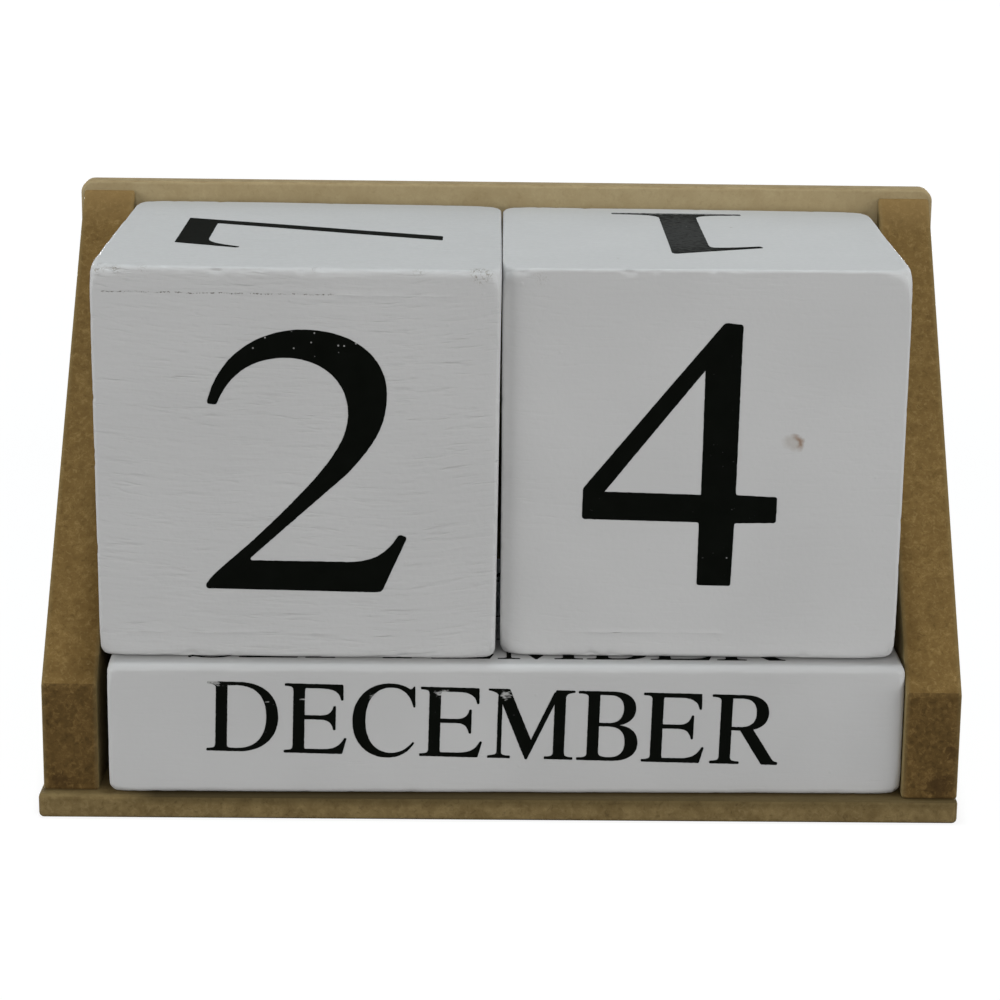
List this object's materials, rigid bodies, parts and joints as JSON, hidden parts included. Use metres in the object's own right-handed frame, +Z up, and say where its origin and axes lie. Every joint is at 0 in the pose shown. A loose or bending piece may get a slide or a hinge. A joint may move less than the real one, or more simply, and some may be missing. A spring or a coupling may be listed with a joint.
{
  "type": "perpetual calendar",
  "caption": "Desk perpetual calendar: white day cubes stand on white month bars in an open-fronted wooden stand with sloped sides and a thin back.",
  "frame": {"origin": "on the table under the middle of the stand's footprint", "axes": "+X along the stand's width to the viewer's right, +Y from the open front to the back board, +Z up"},
  "size_m": [0.15, 0.0738, 0.0935],
  "materials": {
    "mdf_board": "bare sanded fibreboard",
    "white_painted_wood": "matt white paint",
    "brad_steel": "plain wire",
    "black_ink": "matt print"
  },
  "bodies": {
    "stand": {"base_board": "mdf_board", "back_board": "mdf_board", "left_side_panel": "mdf_board", "right_side_panel": "mdf_board", "base_brads": "brad_steel", "back_brads": "brad_steel"},
    "rear_bar": {"rear_month_bar": "white_painted_wood"},
    "middle_bar": {"middle_month_bar": "white_painted_wood"},
    "front_bar": {"front_month_bar": "white_painted_wood"},
    "left_cube": {"left_cube_top": "white_painted_wood", "left_cube_bottom": "white_painted_wood", "left_cube_front": "white_painted_wood", "left_cube_back": "white_painted_wood", "left_cube_left": "white_painted_wood", "left_cube_right": "white_painted_wood"},
    "right_cube": {"right_cube_top": "white_painted_wood", "right_cube_bottom": "white_painted_wood", "right_cube_front": "white_painted_wood", "right_cube_back": "white_painted_wood", "right_cube_left": "white_painted_wood", "right_cube_right": "white_painted_wood"}
  },
  "joints": [
    {"name": "rear_bar_pull", "type": "slide", "parent": "stand", "child": "rear_bar", "axis": [0, -1, 0], "range_m": [0, 0.07]},
    {"name": "middle_bar_pull", "type": "slide", "parent": "rear_bar", "child": "middle_bar", "axis": [0, -1, 0], "range_m": [0, 0.048]},
    {"name": "front_bar_pull", "type": "slide", "parent": "middle_bar", "child": "front_bar", "axis": [0, -1, 0], "range_m": [0, 0.026]},
    {"name": "left_cube_lift", "type": "slide", "parent": "middle_bar", "child": "left_cube", "axis": [0, 0, 1], "range_m": [0, 0.07]},
    {"name": "right_cube_lift", "type": "slide", "parent": "middle_bar", "child": "right_cube", "axis": [0, 0, 1], "range_m": [0, 0.07]}
  ]
}
